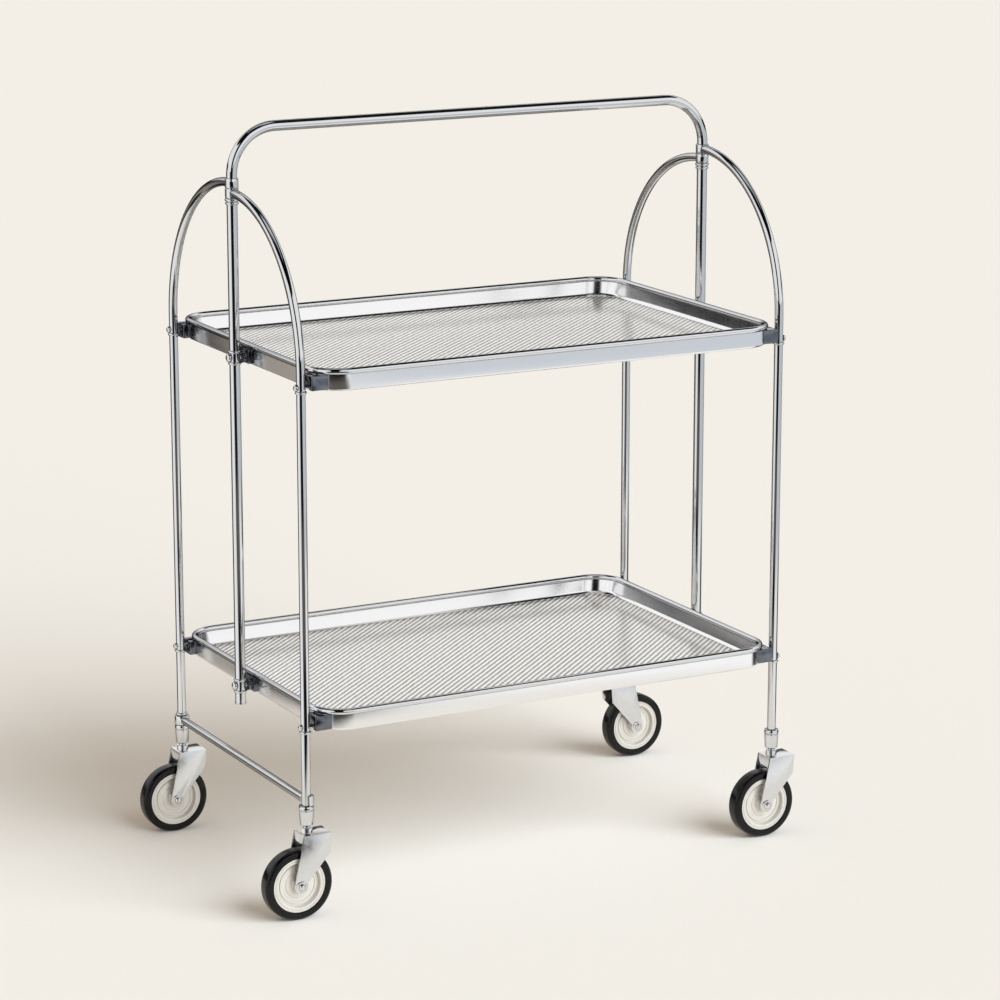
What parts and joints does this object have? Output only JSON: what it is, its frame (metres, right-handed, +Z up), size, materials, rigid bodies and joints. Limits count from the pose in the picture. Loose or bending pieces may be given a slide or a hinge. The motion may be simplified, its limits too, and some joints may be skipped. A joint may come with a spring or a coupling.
{
  "type": "folding bar cart",
  "caption": "Folding serving cart of chromed tube with arched ends, ribbed aluminium trays, a top handle bar and swivel castors.",
  "frame": {"origin": "on the floor under the middle of the cart, the tyres standing on z = 0", "axes": "+X along the long side of the trays, towards the end without the stay; +Y from the front to the rear; +Z up"},
  "size_m": [0.706, 0.39, 0.855],
  "materials": {
    "frame_chrome": "polished",
    "fitting_chrome": "polished",
    "tray_aluminium": "bright rolled",
    "ribbed_sheet": "finely ribbed",
    "bracket_steel": "dark satin",
    "castor_zinc": "zinc plated",
    "wheel_disc": "glossy cream",
    "tyre_rubber": "smooth black rubber"
  },
  "bodies": {
    "frame": {"handle": "frame_chrome", "head_rings": "fitting_chrome", "post_rings": "fitting_chrome", "upper_pivots": "fitting_chrome", "lower_pivots": "fitting_chrome", "post_caps": "fitting_chrome"},
    "upper_shelf": {"upper_tray": "tray_aluminium", "upper_insert": "ribbed_sheet", "upper_hooks": "bracket_steel", "upper_bearings": "bracket_steel"},
    "lower_shelf": {"lower_tray": "tray_aluminium", "lower_insert": "ribbed_sheet", "lower_hooks": "bracket_steel", "lower_bearings": "bracket_steel"},
    "half_fl": {"bow_fl": "frame_chrome", "knuckle_fl": "frame_chrome", "studs_fl": "fitting_chrome", "rings_fl": "fitting_chrome", "cup_fl": "fitting_chrome"},
    "castor_fl": {"fork_fl": "castor_zinc", "axle_fl": "castor_zinc"},
    "roller_fl": {"wheel_fl": "wheel_disc", "tyre_fl": "tyre_rubber"},
    "half_fr": {"bow_fr": "frame_chrome", "knuckle_fr": "frame_chrome", "studs_fr": "fitting_chrome", "rings_fr": "fitting_chrome", "cup_fr": "fitting_chrome"},
    "castor_fr": {"fork_fr": "castor_zinc", "axle_fr": "castor_zinc"},
    "roller_fr": {"wheel_fr": "wheel_disc", "tyre_fr": "tyre_rubber"},
    "half_rl": {"bow_rl": "frame_chrome", "knuckle_rl": "frame_chrome", "studs_rl": "fitting_chrome", "rings_rl": "fitting_chrome", "cup_rl": "fitting_chrome"},
    "castor_rl": {"fork_rl": "castor_zinc", "axle_rl": "castor_zinc"},
    "roller_rl": {"wheel_rl": "wheel_disc", "tyre_rl": "tyre_rubber"},
    "half_rr": {"bow_rr": "frame_chrome", "knuckle_rr": "frame_chrome", "studs_rr": "fitting_chrome", "rings_rr": "fitting_chrome", "cup_rr": "fitting_chrome"},
    "castor_rr": {"fork_rr": "castor_zinc", "axle_rr": "castor_zinc"},
    "roller_rr": {"wheel_rr": "wheel_disc", "tyre_rr": "tyre_rubber"},
    "stay": {"stay": "frame_chrome"}
  },
  "joints": [
    {"name": "upper_tip", "type": "hinge", "parent": "frame", "child": "upper_shelf", "pos_m": [0, 0, 0.596], "axis": [-1, 0, 0], "range_deg": [0, 85]},
    {"name": "lower_tip", "type": "hinge", "parent": "frame", "child": "lower_shelf", "pos_m": [0, 0, 0.22], "axis": [-1, 0, 0], "range_deg": [0, 85]},
    {"name": "swing_fl", "type": "hinge", "parent": "frame", "child": "half_fl", "pos_m": [-0.3, 0, 0.784], "axis": [0, 0, -1], "range_deg": [0, 68]},
    {"name": "swivel_fl", "type": "hinge", "parent": "half_fl", "child": "castor_fl", "pos_m": [-0.3, -0.172, 0.105], "axis": [0, 0, 1], "continuous": true},
    {"name": "roll_fl", "type": "hinge", "parent": "castor_fl", "child": "roller_fl", "pos_m": [-0.313, -0.172, 0.04], "axis": [0, 1, 0], "continuous": true},
    {"name": "swing_fr", "type": "hinge", "parent": "frame", "child": "half_fr", "pos_m": [0.3, 0, 0.784], "axis": [0, 0, 1], "range_deg": [0, 68]},
    {"name": "swivel_fr", "type": "hinge", "parent": "half_fr", "child": "castor_fr", "pos_m": [0.3, -0.172, 0.105], "axis": [0, 0, 1], "continuous": true},
    {"name": "roll_fr", "type": "hinge", "parent": "castor_fr", "child": "roller_fr", "pos_m": [0.287, -0.172, 0.04], "axis": [0, 1, 0], "continuous": true},
    {"name": "swing_rl", "type": "hinge", "parent": "frame", "child": "half_rl", "pos_m": [-0.3, 0, 0.784], "axis": [0, 0, 1], "range_deg": [0, 68]},
    {"name": "swivel_rl", "type": "hinge", "parent": "half_rl", "child": "castor_rl", "pos_m": [-0.3, 0.172, 0.105], "axis": [0, 0, 1], "continuous": true},
    {"name": "roll_rl", "type": "hinge", "parent": "castor_rl", "child": "roller_rl", "pos_m": [-0.313, 0.172, 0.04], "axis": [0, 1, 0], "continuous": true},
    {"name": "swing_rr", "type": "hinge", "parent": "frame", "child": "half_rr", "pos_m": [0.3, 0, 0.784], "axis": [0, 0, -1], "range_deg": [0, 68]},
    {"name": "swivel_rr", "type": "hinge", "parent": "half_rr", "child": "castor_rr", "pos_m": [0.3, 0.172, 0.105], "axis": [0, 0, 1], "continuous": true},
    {"name": "roll_rr", "type": "hinge", "parent": "castor_rr", "child": "roller_rr", "pos_m": [0.313, 0.172, 0.04], "axis": [0, 1, 0], "continuous": true},
    {"name": "stay_swing", "type": "hinge", "parent": "half_rl", "child": "stay", "pos_m": [-0.3, 0.172, 0.1338], "axis": [0, 0, 1], "range_deg": [0, 25]}
  ]
}
